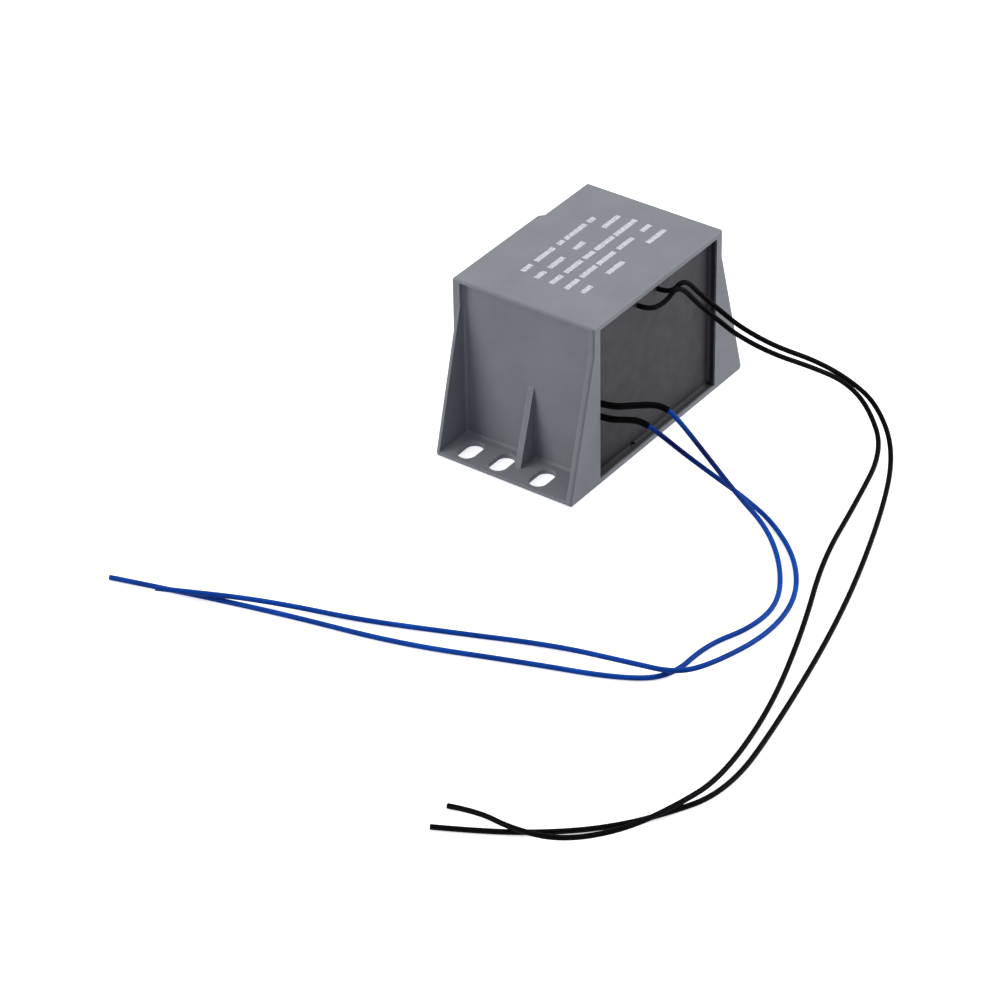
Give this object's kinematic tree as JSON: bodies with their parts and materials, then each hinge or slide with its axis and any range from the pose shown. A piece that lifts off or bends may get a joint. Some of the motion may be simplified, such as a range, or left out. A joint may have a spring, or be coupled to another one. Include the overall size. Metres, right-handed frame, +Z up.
{
  "type": "control transformer",
  "caption": "Potted control transformer: a moulded box with flared end wings, slotted feet and an open face filled with resin, from which loose black and blue leads run.",
  "frame": {"origin": "centre of the bottom of the case, on the face that it is screwed down on; the leads are left out", "axes": "+X along the width, from the feet with the blue leads to the other feet; +Y towards the closed back, away from the resin; +Z up"},
  "size_m": [0.2553, 0.2167, 0.0607],
  "materials": {
    "case_plastic": "grey moulding with a fine matt grain",
    "potting_resin": "dark cast resin with a soft sheen",
    "core_steel": "stacked steel sheets",
    "bobbin_plastic": "natural moulding",
    "winding_copper": "enamelled copper wire",
    "coil_tape": "smooth film tape",
    "splice_metal": "tinned crimp",
    "black_insulation": "smooth insulation",
    "blue_insulation": "smooth insulation",
    "sleeve_plastic": "woven sleeving with a soft sheen"
  },
  "bodies": {
    "root": {"case": "case_plastic", "resin": "potting_resin", "core_e_stack": "core_steel", "core_i_stack": "core_steel", "bobbin": "bobbin_plastic", "primary_winding": "winding_copper", "secondary_winding": "winding_copper", "primary_tape": "coil_tape", "secondary_tape": "coil_tape", "primary_splice_1": "splice_metal", "primary_splice_2": "splice_metal", "secondary_splice_1": "splice_metal", "secondary_splice_2": "splice_metal", "black_lead_1": "black_insulation", "black_lead_2": "black_insulation", "blue_lead_1": "blue_insulation", "blue_lead_2": "blue_insulation", "lead_sleeve_1": "sleeve_plastic", "lead_sleeve_2": "sleeve_plastic"}
  },
  "joints": []
}
